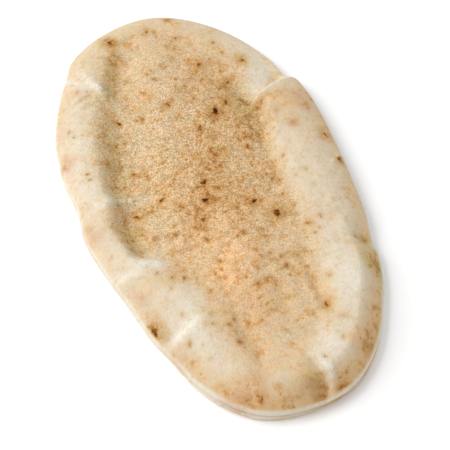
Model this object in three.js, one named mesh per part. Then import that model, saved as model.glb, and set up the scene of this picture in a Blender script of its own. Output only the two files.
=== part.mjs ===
// One oval flatbread: a single baked piece with a puffed and pinched rim, a trough inside the rim
// and a low raised middle. It lies on its flat underside.
// Millimetres, +Z up. +Y runs along the bread to its far end and +X to its right-hand side.
// The origin is on the surface the bread rests on, under the centre of its outline.
import * as THREE from 'three';
import { mergeVertices } from 'three/addons/utils/BufferGeometryUtils.js';

// ---- Driving dimensions ----
const LENGTH = 210;
const WIDTH = 116;
const RIM_HEIGHT = 13.5;        // crest of the highest stretch of rim
const MIDDLE_HEIGHT = 10.8;     // raised middle, at its highest
const FLAT_INSET = 5.5;         // where the flat underside ends, in from the outline, at most

const HALF_WIDTH = WIDTH / 2;

// ---- Fineness of the faceted surface ----
const STEPS_AROUND = 112;
const SIDE_RINGS = 8;
const SHOULDER = 10;            // inset at which the rounded shoulder's close rings end
const SHOULDER_RINGS = 7;
const TOP_RINGS = 18;
const UNDERSIDE_RING = 0.6;     // inset of the one ring inside the underside, in half widths
const OUTLINE_SAMPLES = 240;
const CREASE_STEPS = 16;

// ---- Outline, seen from above, clockwise from the far end ----
// Each point is [across, along] in shares of the half width and the half length.
const OUTLINE = [
  [0.00, 1.00], [0.25, 0.97], [0.49, 0.88], [0.70, 0.74], [0.85, 0.57], [0.885, 0.48], [0.95, 0.43],
  [0.985, 0.28], [0.98, 0.08], [0.955, -0.14], [0.925, -0.30], [0.868, -0.44], [0.866, -0.485],
  [0.85, -0.53], [0.77, -0.65], [0.56, -0.85], [0.29, -0.97], [-0.04, -1.00], [-0.38, -0.95],
  [-0.62, -0.81], [-0.75, -0.64], [-0.82, -0.54], [-0.89, -0.36], [-0.96, -0.20], [-1.00, -0.04],
  [-0.975, 0.08], [-0.99, 0.24], [-0.94, 0.46], [-0.80, 0.665], [-0.71, 0.755], [-0.62, 0.845],
  [-0.36, 0.95],
];

// ---- Rim, station by station around the bread ----
// bearing   degrees clockwise from the far end
// crest     inset at which the rounded shoulder has reached the rim's full height
// rim       that height, as a share of RIM_HEIGHT
// brink     inset at which the rim starts to fall to the trough inside it
// trough    inset of the trough's lowest line, and dip its height, as a share of RIM_HEIGHT
// climb     width of the slope from the trough to the middle
// sharp     how far that slope starts at once (1) and not gently (0)
// belly     height of the widest part of the side, as a share of the rim's
// steep     how far the shoulder falls as a slope with an edge (1) and not as a round (0)
// foot      inset at which the underside leaves the floor
const STATION_KEYS = [
  'bearing', 'crest', 'rim', 'brink', 'trough', 'dip', 'climb', 'sharp', 'belly', 'steep', 'foot',
];
const RIM_STATIONS = [
  [0, 11, 0.68, 12, 18, 0.71, 14, 0.0, 0.50, 0.3, 5.0],
  [20, 12, 0.64, 13, 20, 0.62, 26, 0.0, 0.50, 0.3, 5.0],
  [36, 12, 0.62, 13, 22, 0.55, 26, 0.4, 0.50, 0.3, 5.0],
  [45, 12, 0.66, 16, 23, 0.47, 26, 0.9, 0.50, 0.4, 5.0],
  [51, 14, 0.86, 19, 25, 0.48, 26, 0.8, 0.48, 0.5, 5.0],
  [60, 15, 0.93, 21.5, 27.5, 0.48, 25, 0.9, 0.46, 0.5, 5.0],
  [78, 17, 0.96, 23, 29.5, 0.52, 25, 0.9, 0.46, 0.5, 5.0],
  [96, 17, 0.96, 22, 32, 0.64, 24, 0.6, 0.46, 0.5, 5.0],
  [118, 14, 0.92, 20, 32, 0.70, 22, 0.2, 0.42, 0.7, 4.5],
  [138, 10, 0.95, 16, 28, 0.76, 16, 0.0, 0.36, 1.0, 3.5],
  [156, 10, 1.00, 15, 26, 0.77, 16, 0.0, 0.35, 1.0, 2.0],
  [172, 10, 0.98, 14, 25, 0.79, 16, 0.0, 0.39, 1.0, 1.2],
  [186, 11, 0.96, 14, 24, 0.80, 16, 0.0, 0.42, 0.9, 1.0],
  [200, 13, 0.94, 16, 28, 0.81, 14, 0.0, 0.50, 0.5, 1.6],
  [216, 14, 0.95, 16, 34, 0.79, 12, 0.0, 0.50, 0.3, 3.5],
  [230, 12, 0.96, 13, 30, 0.78, 14, 0.0, 0.50, 0.1, 5.0],
  [240, 10, 0.94, 11, 22, 0.66, 18, 0.0, 0.50, 0.1, 5.0],
  [247, 9, 0.94, 10, 19, 0.50, 22, 0.0, 0.50, 0.1, 5.0],
  [262, 9, 0.94, 10, 19, 0.49, 22, 0.0, 0.50, 0.1, 5.5],
  [280, 10, 0.94, 12, 22, 0.49, 22, 0.0, 0.50, 0.1, 5.5],
  [298, 11, 0.93, 14, 26, 0.50, 20, 0.0, 0.50, 0.1, 5.5],
  [313, 12, 0.90, 15, 28, 0.50, 18, 0.0, 0.50, 0.1, 5.5],
  [331, 12, 0.84, 16, 26, 0.51, 16, 0.0, 0.50, 0.1, 5.0],
  [344, 10, 0.76, 13, 22, 0.53, 14, 0.0, 0.50, 0.2, 5.0],
  [353, 10, 0.70, 11, 18, 0.62, 14, 0.0, 0.50, 0.3, 5.0],
].map((row) => Object.fromEntries(STATION_KEYS.map((key, place) => [key, row[place]])));

const MIDDLE_CREST = -4;        // the middle is highest along this line, left of the centre,
const MIDDLE_FALL = 0.05;       // falls away on either side by this much per millimetre,
const MIDDLE_ROUND = 6;         // and is rounded over this distance along its crest
const SIDE_BLUNTNESS = 0.8;     // below 1, the side's section is squarer than an ellipse
const SLOPE_POWER = 1.4;        // 1 would make a steep shoulder a straight chamfer
const BEARING_BLUR = 3;         // how far apart places on the outline share in a point's bearing

// The seam between the two layers of dough. Its height and half width are shares of the belly's
// height. Below it the lower layer sticks out a little where the foot is narrow.
const SEAM = { height: 0.54, halfWidth: 0.1, depth: 1.2 };
const LOWER_LIP = { out: 0.5, narrowFoot: 1.5, wideFoot: 4 };

// ---- Creases, where dough is tucked under its neighbour ----
// Each is a curve from the outline through a bend to its end.
// onTop     the side that lies on top, the other side being tucked under it
// depth     how deep the tucked side dips, and reach how far that dip reaches
// lip       width of the lip between the two sides, and crown its height
// hold      share of the length after which the crease fades out
const CREASE_KEYS = ['start', 'bend', 'end', 'onTop', 'depth', 'reach', 'lip', 'crown', 'hold'];
const CREASES = [
  [[56, 50], [40.7, 44.7], [28.8, 37.6], [0, -1], 4.2, 10, 4.5, 0.6, 0.80],       // right upper fold
  [[59, 0], [51.9, -1.7], [43.8, -8.6], [0, -1], 1.3, 5, 2.4, 0.4, 0.30],         // right small pinch
  [[54, -49], [47, -46.5], [37.8, -41.6], [0, -1], 2.4, 7, 3.2, 0.4, 0.40],       // right lower fold
  [[6, -107], [11.3, -95.3], [2.8, -85.6], [1, 0], 2.6, 5, 2.2, 0.6, 0.60],       // near end crease
  [[-52, -67], [-38.1, -61.8], [-25.2, -54.6], [0, -1], 2.9, 9, 3.4, 0.7, 0.50],  // left lower crease
  [[-60, -29], [-50.1, -25.8], [-38.2, -32.6], [0, -1], 1.4, 6, 2.8, 0.6, 0.40],  // left middle crease
  [[-46, 82], [-37.1, 76.4], [-29.3, 59.9], [-1, 0], 0.8, 6, 2.8, 0.4, 0.60],     // left upper crease
].map((row) => {
  const crease = Object.fromEntries(CREASE_KEYS.map((key, place) => [key, row[place]]));
  const corners = [crease.start, crease.bend, crease.end].map(([x, y]) => new THREE.Vector2(x, y));
  const line = new THREE.QuadraticBezierCurve(...corners).getPoints(CREASE_STEPS);
  return { ...crease, line };
});

// ---- Swells: soft ovals that rise, or sink where the height is below zero ----
// direction is in degrees clockwise from the far end.
const SWELL_KEYS = ['x', 'y', 'along', 'across', 'direction', 'height'];
const SWELLS = [
  [-6.2, -42.6, 24, 14, 15, 1.6],    // the middle's plateau
  [-28.9, 66, 11, 3, 157, 1.5],      // ridge at the end of the left upper crease
  [-39.2, 4.9, 9, 3, 94, 1.5],       // ridge across the left trough
  [-35.2, -27.6, 8, 4.5, 105, 2.2],  // end of the left trough
  [-12.2, -72.6, 15, 4.5, 6, -1.9],  // hollow towards the near end
  [20.8, -60.6, 13, 3, -4, -1.3],    // two shallow furrows
  [5.8, -59.6, 9, 3, 3, -0.5],
  [32.8, -64.6, 14, 6, -15, 0.3],    // right lower puff
].map((row) => Object.fromEntries(SWELL_KEYS.map((key, place) => [key, row[place]])));
const TUCK = { from: -0.2, to: 0.8 };   // where a crease's lip drops to its tucked side, in lips
const SWELL_EDGE = { from: 2, to: 12 }; // insets over which swells come in
const CEILING_EASE = 0.35;              // how softly the surface levels off under RIM_HEIGHT

function blend(from, to, share) {
  return THREE.MathUtils.lerp(from, to, share);
}

// A smooth climb from 0 to 1 as value goes from low to high.
function climb(value, low, high) {
  return THREE.MathUtils.smoothstep(value, low, high);
}

function wholeTurn(degrees) {
  return THREE.MathUtils.euclideanModulo(degrees, 360);
}

// Degrees clockwise from the far end, from 0 up to 360.
function bearingOf(x, y) {
  return wholeTurn(THREE.MathUtils.radToDeg(Math.atan2(x, y)));
}

// The outline as a closed ring of points sorted by bearing, fitted to the bread's exact size.
function makeOutline() {
  const corners = OUTLINE.map(([across, along]) => new THREE.Vector3(across, along, 0));
  const curve = new THREE.CatmullRomCurve3(corners, true, 'centripetal');
  const ring = curve.getPoints(OUTLINE_SAMPLES).slice(1);
  const box = new THREE.Box3().setFromPoints(ring);
  const middle = box.getCenter(new THREE.Vector3());
  const span = box.getSize(new THREE.Vector3());
  const points = ring.map((point) => {
    const x = ((point.x - middle.x) / span.x) * WIDTH;
    const y = ((point.y - middle.y) / span.y) * LENGTH;
    return { x, y, bearing: bearingOf(x, y), radius: Math.hypot(x, y) };
  });
  return points.sort((one, other) => one.bearing - other.bearing);
}

const outline = makeOutline();

// The entries just before and after a bearing in a ring sorted by bearing, and the share between.
function neighbours(ring, bearing) {
  const found = ring.findIndex((entry) => entry.bearing > bearing);
  const next = found < 0 ? 0 : found;
  const before = ring.at(next - 1);
  const after = ring[next];
  const share = wholeTurn(bearing - before.bearing) / wholeTurn(after.bearing - before.bearing);
  return { before, after, share };
}

// Distance from the centre to the outline at a bearing, and how many millimetres along that
// bearing make one millimetre square to the outline.
function edgeAt(bearing) {
  const { before, after, share } = neighbours(outline, bearing);
  const radius = blend(before.radius, after.radius, share);
  const run = Math.hypot(after.x - before.x, after.y - before.y);
  const sweep = Math.abs(after.x * before.y - after.y * before.x);
  return { radius, slant: (run * radius) / sweep };
}

// The step from a point to the nearest place on the line between two others, and how far along
// that line the place is.
function stepToLine(from, to, x, y) {
  const run = { x: to.x - from.x, y: to.y - from.y };
  const along = ((x - from.x) * run.x + (y - from.y) * run.y) / (run.x ** 2 + run.y ** 2);
  const share = THREE.MathUtils.clamp(along, 0, 1);
  const step = { x: x - from.x - share * run.x, y: y - from.y - share * run.y };
  return { run, step, share, distance: Math.hypot(step.x, step.y) };
}

// How far in a point is from the outline, and the bearing of the places nearest to it.
function placeInOutline(x, y) {
  const distances = outline.map((to, index) => stepToLine(outline.at(index - 1), to, x, y).distance);
  const inset = Math.min(...distances);
  const pull = new THREE.Vector2();
  outline.forEach((to, index) => {
    const nearness = Math.exp((inset - distances[index]) / BEARING_BLUR);
    pull.addScaledVector(new THREE.Vector2(to.x, to.y).normalize(), nearness);
  });
  return { inset, bearing: bearingOf(pull.x, pull.y) };
}

// The rim's section at a bearing, eased from one station to the next.
function rimAt(bearing) {
  const { before, after, share } = neighbours(RIM_STATIONS, bearing);
  const eased = climb(share, 0, 1);
  return Object.fromEntries(STATION_KEYS.map((key) => [key, blend(before[key], after[key], eased)]));
}

// How far one crease lowers its tucked side, and raises its lip, at a point.
function creaseRise(crease, x, y) {
  const steps = crease.line.slice(1).map(
    (to, index) => ({ index, ...stepToLine(crease.line[index], to, x, y) }),
  );
  const nearest = steps.reduce((best, step) => (step.distance < best.distance ? step : best));
  const across = new THREE.Vector2(-nearest.run.y, nearest.run.x);
  const facing = Math.sign(across.dot(new THREE.Vector2(...crease.onTop)));
  const side = nearest.distance * facing * Math.sign(across.dot(nearest.step));
  const fade = 1 - climb((nearest.index + nearest.share) / CREASE_STEPS, crease.hold, 1);
  const tucked = 1 - climb(side / crease.lip, TUCK.from, TUCK.to);
  const dip = crease.depth * tucked * Math.exp(Math.min(side, 0) / crease.reach);
  const crown = crease.crown * Math.exp(-(((side - crease.lip) / crease.lip) ** 2));
  return fade * (crown - dip);
}

// Height of one soft oval at a point.
function swellRise(swell, x, y) {
  const angle = THREE.MathUtils.degToRad(swell.direction);
  const forward = (x - swell.x) * Math.sin(angle) + (y - swell.y) * Math.cos(angle);
  const sideways = (x - swell.x) * Math.cos(angle) - (y - swell.y) * Math.sin(angle);
  return swell.height * Math.exp(-((forward / swell.along) ** 2) - (sideways / swell.across) ** 2);
}

// The rim's own height at an inset: its side's shoulder, its crest, then down into the trough.
function rimHeight(rim, inset) {
  const gap = 1 - Math.min(inset / rim.crest, 1);
  const rounding = blend(Math.sqrt(1 - gap ** 2), 1 - gap ** SLOPE_POWER, rim.steep);
  const hollow = climb(inset, rim.brink, rim.trough);
  return RIM_HEIGHT * blend(rim.rim, rim.dip, hollow) * blend(rim.belly, 1, rounding);
}

// Height of the upper surface at a point inside the outline.
function topHeight(x, y) {
  const { inset, bearing } = placeInOutline(x, y);
  const rim = rimAt(bearing);
  const middle = MIDDLE_HEIGHT - MIDDLE_FALL * Math.hypot(x - MIDDLE_CREST, MIDDLE_ROUND);
  const share = THREE.MathUtils.clamp((inset - rim.trough) / rim.climb, 0, 1);
  const slope = blend(climb(share, 0, 1), 1 - (1 - share) ** 2, rim.sharp);
  const folds = CREASES.reduce((sum, crease) => sum + creaseRise(crease, x, y), 0);
  const swells = SWELLS.reduce((sum, swell) => sum + swellRise(swell, x, y), 0);
  const body = blend(rimHeight(rim, inset), middle, slope)
    + folds * climb(inset, 0, rim.crest / 2)
    + swells * climb(inset, SWELL_EDGE.from, SWELL_EDGE.to);
  const excess = body - RIM_HEIGHT;
  return body - (excess + Math.hypot(excess, CEILING_EASE)) / 2;
}

// Insets of the rings over the rounded shoulder, then over the top as far as the centre.
function topInsets() {
  const insets = [];
  for (let ring = 0; ring < SHOULDER_RINGS; ring += 1) {
    const turn = (ring / SHOULDER_RINGS) * (Math.PI / 2);
    insets.push(SHOULDER * (1 - Math.cos(turn)));
  }
  for (let ring = 0; ring <= TOP_RINGS; ring += 1) {
    insets.push(blend(SHOULDER, HALF_WIDTH, ring / TOP_RINGS));
  }
  return insets;
}

// The side's section, from the edge of the underside to just under its widest part. Heights are
// shares of the belly's height.
function sideSection() {
  const section = [];
  for (let ring = 0; ring < SIDE_RINGS; ring += 1) {
    const turn = (ring / SIDE_RINGS) * (Math.PI / 2);
    const inset = FLAT_INSET * (1 - Math.sin(turn) ** SIDE_BLUNTNESS);
    section.push({ inset, height: 1 - Math.cos(turn) ** SIDE_BLUNTNESS });
  }
  return section;
}

// A plain round bun of unit height, turned about its upright axis: its underside, its side and
// its top. shapeBread gives it its true form.
function roundBlank() {
  const underside = [HALF_WIDTH, HALF_WIDTH * UNDERSIDE_RING].map((inset) => ({ inset, height: 0 }));
  const top = topInsets().map((inset) => ({ inset, height: 1 }));
  const profile = [...underside, ...sideSection(), ...top].map(
    ({ inset, height }) => new THREE.Vector2(HALF_WIDTH - inset, height),
  );
  const blank = new THREE.LatheGeometry(profile, STEPS_AROUND);
  blank.deleteAttribute('normal');
  blank.deleteAttribute('uv');
  return mergeVertices(blank).rotateX(Math.PI / 2);
}

// Where a point of the blank belongs on the oval. Near the outline an inset keeps its length,
// and further in it stretches with the oval.
function placeOnOval(bearing, inset) {
  const { radius, slant } = edgeAt(bearing);
  const stretch = blend(slant, radius / HALF_WIDTH, climb(inset, FLAT_INSET, HALF_WIDTH / 2));
  const reach = Math.max(radius - inset * stretch, 0);
  const angle = THREE.MathUtils.degToRad(bearing);
  return { x: reach * Math.sin(angle), y: reach * Math.cos(angle) };
}

// The inset that a point of the blank's underside or side has on the bread, whose foot is
// narrower in places and whose side has the seam.
function lowerInset(rim, inset, height) {
  const inner = climb(inset, FLAT_INSET, HALF_WIDTH * UNDERSIDE_RING);
  const foot = blend(rim.foot / FLAT_INSET, 1, inner);
  const aboveSeam = (height - SEAM.height) / SEAM.halfWidth;
  const dent = SEAM.depth * Math.exp(-(aboveSeam ** 2));
  const narrow = 1 - climb(rim.foot, LOWER_LIP.narrowFoot, LOWER_LIP.wideFoot);
  const below = climb(height, 0, SEAM.halfWidth) * (1 - climb(aboveSeam, -1, 1));
  return inset * foot + dent - LOWER_LIP.out * narrow * below;
}

function shapeBread(blank) {
  const position = blank.getAttribute('position');
  for (let index = 0; index < position.count; index += 1) {
    const share = position.getZ(index);
    const bearing = bearingOf(position.getX(index), position.getY(index));
    const inset = HALF_WIDTH - Math.hypot(position.getX(index), position.getY(index));
    const rim = rimAt(bearing);
    const isTop = share === 1;
    const { x, y } = placeOnOval(bearing, isTop ? inset : lowerInset(rim, inset, share));
    const height = isTop ? topHeight(x, y) : share * rim.belly * rim.rim * RIM_HEIGHT;
    position.setXYZ(index, x, y, height);
  }
  blank.computeVertexNormals();
  return blank;
}

function makePita() {
  const crust = new THREE.MeshStandardMaterial({ color: 0xdcb988, roughness: 0.85, metalness: 0 });
  const pita = new THREE.Mesh(shapeBread(roundBlank()), crust);
  pita.name = 'pita';
  return pita;
}

const part = new THREE.Group();
part.add(makePita());

export default part;
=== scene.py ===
"""An oval pita bread on a pale studio floor.

The fine crust made here replaces the plain CAD solid. Its shapes and markings are placed on the
bread's own plan: millimetres from the middle of the outline, x to the right and y to the far end,
for a bread PLAN_LENGTH long. The frame's box says how large one of those millimetres is.
"""
import math

import bpy
import numpy as np
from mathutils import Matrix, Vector


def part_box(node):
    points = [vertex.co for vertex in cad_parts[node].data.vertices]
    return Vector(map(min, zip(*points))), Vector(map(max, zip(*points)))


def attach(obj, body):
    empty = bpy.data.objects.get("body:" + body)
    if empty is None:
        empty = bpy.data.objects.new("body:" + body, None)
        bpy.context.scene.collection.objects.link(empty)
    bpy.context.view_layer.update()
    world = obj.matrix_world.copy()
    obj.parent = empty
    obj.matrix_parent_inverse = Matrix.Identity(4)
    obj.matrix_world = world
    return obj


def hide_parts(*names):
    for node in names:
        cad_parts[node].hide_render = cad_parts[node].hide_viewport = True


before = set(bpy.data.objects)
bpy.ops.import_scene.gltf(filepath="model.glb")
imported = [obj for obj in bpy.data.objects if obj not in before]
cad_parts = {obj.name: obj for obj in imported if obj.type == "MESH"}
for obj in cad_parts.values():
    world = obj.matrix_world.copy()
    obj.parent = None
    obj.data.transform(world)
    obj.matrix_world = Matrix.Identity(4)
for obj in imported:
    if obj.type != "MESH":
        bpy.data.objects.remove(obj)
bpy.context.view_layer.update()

# ---- Size, from the frame ----
PLAN_LENGTH = 210.0
box_low, box_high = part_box("pita")
MM = (box_high.y - box_low.y) / PLAN_LENGTH    # one plan millimetre, in metres
HALF_WIDTH = (box_high.x - box_low.x) / MM / 2
HALF_LENGTH = PLAN_LENGTH / 2
RIM_HEIGHT = (box_high.z - box_low.z) / MM
MIDDLE_HEIGHT = 0.80 * RIM_HEIGHT
CENTRE = Vector(((box_low.x + box_high.x) / 2, (box_low.y + box_high.y) / 2, box_low.z))

# ---- Fineness of the crust's mesh ----
STEPS_AROUND = 832               # at the outline, halved again and again towards the centre
MOST_HALVINGS = 6                # which leaves 13 points in the smallest rings
TOP_RINGS = 122
EVEN_RINGS = 0.55                # 1 spaces the top's rings evenly; below it they crowd to the shoulder
CROWDING = 1.6                   # how strongly they crowd there
SIDE_RINGS = 20
UNDERSIDE_RINGS = 14
CHUNK = 4000                     # points placed in the outline at a time, which saves memory

# ---- Outline, clockwise from the far end, in shares of the half width and half length ----
OUTLINE = [
    (0.00, 1.00), (0.25, 0.97), (0.49, 0.88), (0.70, 0.74), (0.85, 0.57), (0.885, 0.48), (0.95, 0.43),
    (0.985, 0.28), (0.98, 0.08), (0.955, -0.14), (0.925, -0.30), (0.868, -0.44), (0.866, -0.485),
    (0.85, -0.53), (0.77, -0.65), (0.56, -0.85), (0.29, -0.97), (-0.04, -1.00), (-0.38, -0.95),
    (-0.62, -0.81), (-0.75, -0.64), (-0.82, -0.54), (-0.89, -0.36), (-0.96, -0.20), (-1.00, -0.04),
    (-0.975, 0.08), (-0.99, 0.24), (-0.94, 0.46), (-0.80, 0.665), (-0.71, 0.755), (-0.62, 0.845),
    (-0.36, 0.95),
]

# ---- Rim stations: the rim's section, from the outline inwards, at a bearing in degrees clockwise
# from the far end. Distances are in from the outline; rim and dip are heights as shares of RIM_HEIGHT.
#   crest    where the rounded shoulder has reached the rim's full height
#   brink    where the rim starts to fall to the trough inside it
#   trough   the trough's lowest line, and climb the width of the slope from there to the middle
#   sharp    how far the slope to the middle starts at once (1) and not gently (0)
#   belly    height of the widest part of the side, as a share of the rim's
#   steep    how far the shoulder falls as a slope with an edge (1) and not as a round (0)
#   foot     where the underside leaves the floor
STATION_KEYS = ("bearing", "crest", "rim", "brink", "trough", "dip", "climb", "sharp", "belly", "steep",
                "foot")
RIM_STATIONS = [
    (0, 11, 0.68, 12, 18, 0.71, 14, 0.0, 0.50, 0.3, 5.0),
    (20, 12, 0.64, 13, 20, 0.62, 26, 0.0, 0.50, 0.3, 5.0),
    (36, 12, 0.62, 13, 22, 0.55, 26, 0.4, 0.50, 0.3, 5.0),
    (45, 12, 0.66, 16, 23, 0.47, 26, 0.9, 0.50, 0.4, 5.0),
    (51, 14, 0.86, 19, 25, 0.48, 26, 0.8, 0.48, 0.5, 5.0),
    (60, 15, 0.93, 21.5, 27.5, 0.48, 25, 0.9, 0.46, 0.5, 5.0),
    (78, 17, 0.96, 23, 29.5, 0.52, 25, 0.9, 0.46, 0.5, 5.0),
    (96, 17, 0.96, 22, 32, 0.64, 24, 0.6, 0.46, 0.5, 5.0),
    (118, 14, 0.92, 20, 32, 0.70, 22, 0.2, 0.42, 0.7, 4.5),
    (138, 10, 0.95, 16, 28, 0.76, 16, 0.0, 0.36, 1.0, 3.5),
    (156, 10, 1.00, 15, 26, 0.77, 16, 0.0, 0.35, 1.0, 2.0),
    (172, 10, 0.98, 14, 25, 0.79, 16, 0.0, 0.39, 1.0, 1.2),
    (186, 11, 0.96, 14, 24, 0.80, 16, 0.0, 0.42, 0.9, 1.0),
    (200, 13, 0.94, 16, 28, 0.81, 14, 0.0, 0.50, 0.5, 1.6),
    (216, 14, 0.95, 16, 34, 0.79, 12, 0.0, 0.50, 0.3, 3.5),
    (230, 12, 0.96, 13, 30, 0.78, 14, 0.0, 0.50, 0.1, 5.0),
    (240, 10, 0.94, 11, 22, 0.66, 18, 0.0, 0.50, 0.1, 5.0),
    (247, 9, 0.94, 10, 19, 0.50, 22, 0.0, 0.50, 0.1, 5.0),
    (262, 9, 0.94, 10, 19, 0.49, 22, 0.0, 0.50, 0.1, 5.5),
    (280, 10, 0.94, 12, 22, 0.49, 22, 0.0, 0.50, 0.1, 5.5),
    (298, 11, 0.93, 14, 26, 0.50, 20, 0.0, 0.50, 0.1, 5.5),
    (313, 12, 0.90, 15, 28, 0.50, 18, 0.0, 0.50, 0.1, 5.5),
    (331, 12, 0.84, 16, 26, 0.51, 16, 0.0, 0.50, 0.1, 5.0),
    (344, 10, 0.76, 13, 22, 0.53, 14, 0.0, 0.50, 0.2, 5.0),
    (353, 10, 0.70, 11, 18, 0.62, 14, 0.0, 0.50, 0.3, 5.0),
]
MIDDLE_CREST = -4                # x of the middle's highest line
MIDDLE_FALL = 0.05               # how steeply it falls away to each side
MIDDLE_ROUND = 6                 # distance over which the middle is rounded along that line
SEAM_HEIGHT = 0.55               # the seam between the two layers of dough, as a share of the belly's
SEAM_DEPTH = 1.3                 # how far it is pressed in
SEAM_WIDTH = 0.45                # how far it spreads up and down the side
LOWER_LIP = 0.5                  # how far the lower layer sticks out where the foot is narrow
NARROW_FOOT = 1.5                # it does so fully here,
WIDE_FOOT = 4                    # and not at all from here on
LIP_START = (0.1, 0.5)           # heights above the floor between which the lip begins
TATTERED_AT = (175, 9)           # where the base is tattered: the middle bearing, and degrees each way
TATTERS = 3.2                    # how far in the tatters reach
EVEN_TATTER = 0.55               # the share of that which is the same all along
EDGE_BAND = 5.0                  # nominal width of the band where rings follow the outline
EDGE_EASE = 15.0                 # inset at which the underside's rings no longer follow the base line
SIDE_BLUNTNESS = 0.8             # below 1, the side's section is squarer than an ellipse
SLOPE_POWER = 1.4                # 1 would make a steep shoulder a straight chamfer
BEARING_BLUR = 3.0               # how far apart places on the outline share in a point's bearing
CEILING_EASE = 0.35              # how softly the highest lumps level off under the bread's full height
INNER_BAND = (2, 12)             # insets between which swells and the wandering below set in
RIM_WANDER = 1.3                 # how far the rim's inner lines wander, and over what length
RIM_WANDER_SIZE = 13
FOLD_WAVER = 0.9                 # how far creases and swells waver, and over what length
FOLD_WAVER_SIZE = 8
LUMPS_FULL = 6                   # inset from which the dough's lumps have their full height

# ---- Random lumps in layers, each with its height, its size across and its seed ----
DOUGH_LUMPS = [(0.30, 24, 3), (0.26, 11, 4), (0.15, 5, 5), (0.09, 2.4, 6)]    # swells to blisters
BASE_LUMPS = [(0.5, 7, 21), (0.25, 3, 22)]                                    # along the base line
TATTER_LUMPS = [(0.35, 6, 31), (0.3, 2.2, 32)]                                # where it is tattered

# ---- Creases, where dough is tucked under its neighbour: a curve from the outline through a bend to
# its end, the side that lies on top, how deep the other side dips, how far that dip reaches, the
# width of the lip between them, the height of the lip's crown, and the share where it starts to fade
CREASES = [
    ((56, 50), (40.7, 44.7), (28.8, 37.6), (0, -1), 4.2, 10, 2.0, 1.0, 0.80),       # right upper fold
    ((59, 0), (51.9, -1.7), (43.8, -8.6), (0, -1), 1.3, 5, 2.0, 0.5, 0.30),         # right small pinch
    ((54, -49), (47, -46.5), (37.8, -41.6), (0, -1), 2.4, 7, 2.4, 0.5, 0.40),       # right lower fold
    ((6, -107), (11.3, -95.3), (2.8, -85.6), (1, 0), 2.8, 5, 1.9, 0.7, 0.60),       # near end crease
    ((-52, -67), (-38.1, -61.8), (-25.2, -54.6), (0, -1), 2.9, 9, 3.4, 0.8, 0.50),  # left lower crease
    ((-60, -29), (-50.1, -25.8), (-38.2, -32.6), (0, -1), 1.4, 6, 3.0, 0.7, 0.40),  # left middle crease
    ((-46, 82), (-37.1, 76.4), (-29.3, 59.9), (-1, 0), 0.8, 6, 2.6, 0.5, 0.60),     # left upper crease
]
LIP_STEP = (-0.2, 0.8)           # where the step up to a crease's lip begins and ends, in lip widths
CREASE_PALENESS_AND_HIGHLIGHT = 0.38           # how much less baked a crease's lip is: its own pale dough, and a painted highlight where the lip faces the light
PALE_AND_LIT_LINE = (0.25, 0.85)         # the middle and the width of that pale line with its painted highlight, in lip widths

# ---- Swells: a soft rise or hollow; x, y, radius along, radius across, direction in degrees
# clockwise from the far end, height
SWELLS = [
    (-6.2, -42.6, 24, 14, 15, 1.6),    # the middle's plateau
    (-28.2, 65, 12, 2.8, 157, 1.7),    # pale ridge at the end of the left upper crease
    (-40.7, 62.6, 3.6, 1.1, 70, 1.4),  # two small wrinkles beside it
    (-38.8, 58.8, 3.2, 1.1, 80, 1.4),
    (-37.4, 6.4, 9, 2.4, 92, 1.9),     # pale ridge across the left trough
    (-35.2, -27.6, 8, 4.5, 105, 2.2),  # end of the left trough
    (-12.2, -72.6, 15, 4.5, 6, -1.9),  # hollow towards the near end
    (20.8, -60.6, 13, 2.4, -4, -1.5),  # two shallow furrows
    (5.8, -59.6, 9, 2.2, 3, -0.6),
    (32.8, -64.6, 14, 6, -15, 0.3),    # right lower puff
]


# ==== Plain mathematics on arrays ====

def climb(value, low, high):
    """A smooth climb from 0 to 1 as value goes from low to high."""
    share = np.clip((value - low) / (high - low), 0, 1)
    return share * share * (3 - 2 * share)


def blend(start, end, share):
    return start + (end - start) * share


def on_floor(x, y):
    """Points at height 0."""
    return np.stack([x, y, np.zeros_like(x)], axis=1)


def lumps(points, size, seed):
    """Smooth random lumps about `size` across, from -1 to 1, at each point."""
    cells = 32
    table = np.random.default_rng(seed).uniform(-1, 1, (cells, cells, cells))
    scaled = points / size
    corner = np.floor(scaled).astype(int)
    within = scaled - corner
    within = within * within * (3 - 2 * within)
    total = np.zeros(len(points))
    for step in np.ndindex(2, 2, 2):
        weight = np.prod(np.where(step, within, 1 - within), axis=1)
        total += weight * table[tuple(((corner + step) % cells).T)]
    return total


def layered_lumps(points, layers):
    """The sum of several layers of lumps, each given by its height, size and seed."""
    return sum(height * lumps(points, size, seed) for height, size, seed in layers)


def wavering(points, amount, size, seed):
    """x and y of each point, moved by up to `amount`, so that what is placed by them wavers."""
    x = points[:, 0] + amount * lumps(points, size, seed)
    y = points[:, 1] + amount * lumps(points, size, seed + 1)
    return x, y


# ==== The form of the bread, in plan millimetres ====

def closed_spline(corners, per_span=12):
    """Points of a smooth closed curve through the corners (a centripetal Catmull-Rom spline)."""
    before, start, end, after = (np.roll(corners, shift, axis=0)[:, None] for shift in (1, 0, -1, -2))

    def knot_gap(one, other):
        return np.sqrt(np.linalg.norm(other - one, axis=2, keepdims=True))

    first = knot_gap(before, start)
    second = first + knot_gap(start, end)
    third = second + knot_gap(end, after)
    at = first + (second - first) * np.linspace(0, 1, per_span, endpoint=False)[None, :, None]
    low = blend(before, start, at / first)
    middle = blend(start, end, (at - first) / (second - first))
    high = blend(end, after, (at - second) / (third - second))
    lower = blend(low, middle, at / second)
    upper = blend(middle, high, (at - first) / (third - first))
    return blend(lower, upper, (at - first) / (second - first)).reshape(-1, 2)


def bearing_of(x, y):
    """Degrees clockwise from the far end, from 0 to 360."""
    return np.degrees(np.arctan2(x, y)) % 360


def make_outline():
    """The outline fitted to the frame's box, as points sorted by bearing."""
    ring = closed_spline(np.array(OUTLINE))
    low, high = ring.min(axis=0), ring.max(axis=0)
    ring = (ring - (low + high) / 2) / (high - low) * 2 * (HALF_WIDTH, HALF_LENGTH)
    return ring[np.argsort(bearing_of(*ring.T))]


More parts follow.
